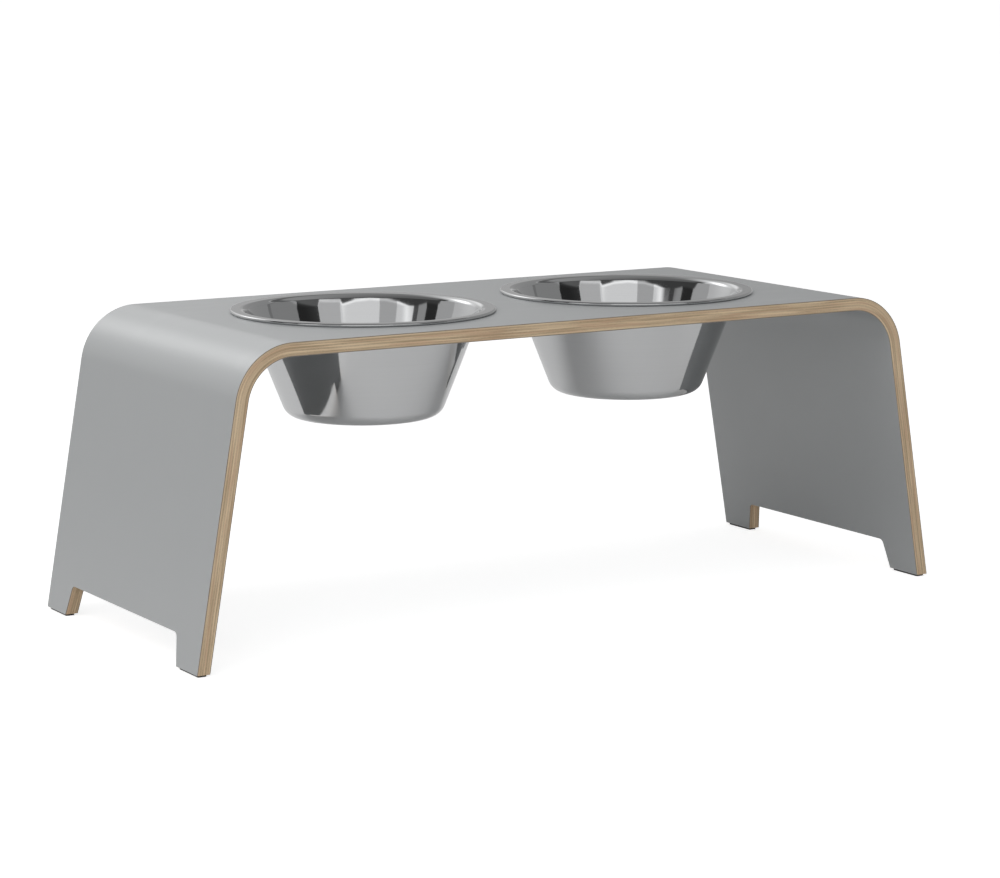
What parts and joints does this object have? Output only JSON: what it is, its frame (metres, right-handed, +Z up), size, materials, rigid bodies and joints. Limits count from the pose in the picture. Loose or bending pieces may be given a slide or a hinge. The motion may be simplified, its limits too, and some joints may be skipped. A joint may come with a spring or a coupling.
{
  "type": "elevated pet feeder",
  "caption": "Raised pet feeder: a bench bent from laminated plywood, with splayed legs and padded feet, that holds lift-out tapered steel bowls in round holes.",
  "frame": {"origin": "on the floor, under the middle of the bench", "axes": "+X along the bench's length, -Y towards its front, +Z up"},
  "size_m": [0.7924, 0.317, 0.2831],
  "materials": {
    "grey_laminate": "satin",
    "veneer_along": "sanded, clear oil",
    "veneer_across": "sanded, clear oil",
    "bowl_steel": "polished",
    "pad_rubber": "matte",
    "pad_adhesive": "matte"
  },
  "bodies": {
    "bench": {"outer_laminate": "grey_laminate", "veneer_ply_1": "veneer_along", "veneer_ply_2": "veneer_across", "veneer_ply_3": "veneer_along", "veneer_ply_4": "veneer_across", "veneer_ply_5": "veneer_along", "veneer_ply_6": "veneer_across", "veneer_ply_7": "veneer_along", "veneer_ply_8": "veneer_across", "veneer_ply_9": "veneer_along", "inner_laminate": "grey_laminate", "front_left_pad": "pad_rubber", "front_right_pad": "pad_rubber", "back_left_pad": "pad_rubber", "back_right_pad": "pad_rubber", "front_left_pad_adhesive": "pad_adhesive", "front_right_pad_adhesive": "pad_adhesive", "back_left_pad_adhesive": "pad_adhesive", "back_right_pad_adhesive": "pad_adhesive"},
    "left_bowl": {"left_bowl": "bowl_steel"},
    "right_bowl": {"right_bowl": "bowl_steel"}
  },
  "joints": [
    {"name": "left_bowl_lift", "type": "slide", "parent": "bench", "child": "left_bowl", "axis": [0, 0, 1], "range_m": [0, 0.15]},
    {"name": "right_bowl_lift", "type": "slide", "parent": "bench", "child": "right_bowl", "axis": [0, 0, 1], "range_m": [0, 0.15]}
  ]
}
